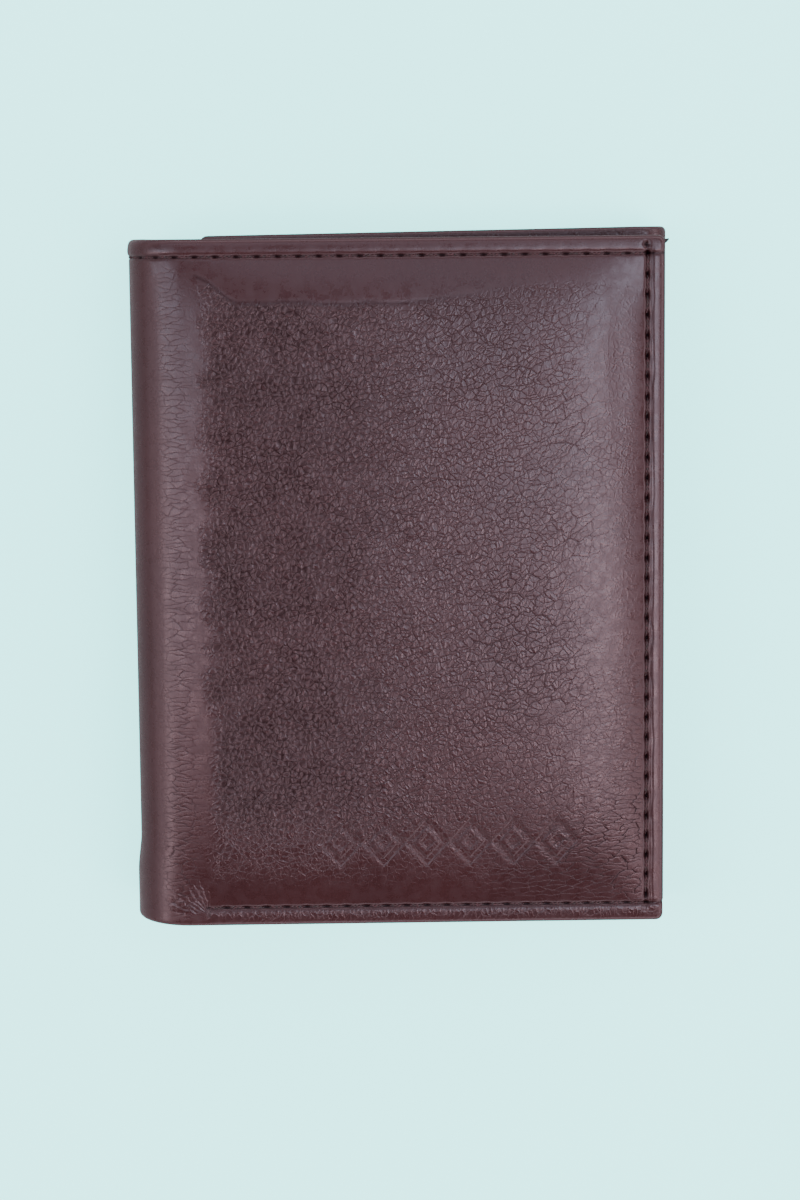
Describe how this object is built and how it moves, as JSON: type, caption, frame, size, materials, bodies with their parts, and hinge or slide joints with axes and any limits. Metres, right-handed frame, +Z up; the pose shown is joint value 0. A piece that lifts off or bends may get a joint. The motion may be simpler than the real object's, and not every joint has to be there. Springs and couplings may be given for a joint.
{
  "type": "trifold wallet",
  "caption": "Closed letter-fold trifold wallet in grained leather with padded cover, stitched edges, bill compartment and card pockets.",
  "frame": {"origin": "middle of the flat back face that the closed wallet lies on", "axes": "+Z up through the thickness, from the back to the front cover; +Y towards the wallet's top edge, where the bill compartment opens; +X towards the front flap's free edge, with the wide spine at -X"},
  "size_m": [0.09, 0.1164, 0.023],
  "materials": {
    "outer_leather": "semi-gloss grained burgundy-brown leather",
    "inner_leather": "satin, finer grain",
    "lining_cloth": "black plain-woven lining cloth",
    "board": "matt fibre board",
    "foam": "matt open-cell foam",
    "thread": "dark maroon twisted polyester thread",
    "clear_film": "clear glossy film"
  },
  "bodies": {
    "centre_panel": {"back_leather": "outer_leather", "back_stiffener": "board", "back_lining": "lining_cloth", "centre_bill_wall": "inner_leather", "centre_card_pocket_1": "inner_leather", "centre_card_pocket_2": "inner_leather", "centre_card_pocket_3": "inner_leather", "back_stitching": "thread"},
    "left_spine": {"left_spine_leather": "outer_leather", "left_spine_lining": "lining_cloth", "left_spine_bill_wall": "inner_leather", "left_spine_stitching": "thread"},
    "front_flap": {"front_leather": "outer_leather", "front_padding": "foam", "front_lining": "lining_cloth", "front_bill_wall": "inner_leather", "front_card_pocket": "inner_leather", "front_id_sleeve": "clear_film", "front_id_sleeve_trim": "inner_leather", "front_stitching": "thread"},
    "right_spine": {"right_spine_leather": "outer_leather", "right_spine_lining": "lining_cloth"},
    "inner_flap": {"inner_flap_leather": "outer_leather", "inner_flap_stiffener": "board", "inner_flap_lining": "lining_cloth", "inner_bill_wall": "inner_leather", "inner_card_pocket_1": "inner_leather", "inner_card_pocket_2": "inner_leather", "inner_card_pocket_3": "inner_leather", "inner_flap_stitching": "thread"}
  },
  "joints": [
    {"name": "left_spine_fold", "type": "hinge", "parent": "centre_panel", "child": "left_spine", "pos_m": [-0.04371, 0, 0.00129], "axis": [0, -1, 0], "range_deg": [0, 90]},
    {"name": "front_flap_fold", "type": "hinge", "parent": "left_spine", "child": "front_flap", "pos_m": [-0.04286, 0, 0.02142], "axis": [0, -1, 0], "range_deg": [0, 94.5]},
    {"name": "right_spine_fold", "type": "hinge", "parent": "centre_panel", "child": "right_spine", "pos_m": [0.04403, 0, 0.00097], "axis": [0, 1, 0], "range_deg": [0, 90]},
    {"name": "inner_flap_fold", "type": "hinge", "parent": "right_spine", "child": "inner_flap", "pos_m": [0.04403, 0, 0.00853], "axis": [0, 1, 0], "range_deg": [0, 90]}
  ],
  "couplings": [
    {"joint": "front_flap_fold", "follows": "left_spine_fold", "ratio": 1.05},
    {"joint": "right_spine_fold", "follows": "left_spine_fold", "ratio": 0.4},
    {"joint": "inner_flap_fold", "follows": "left_spine_fold", "ratio": 0.4}
  ]
}
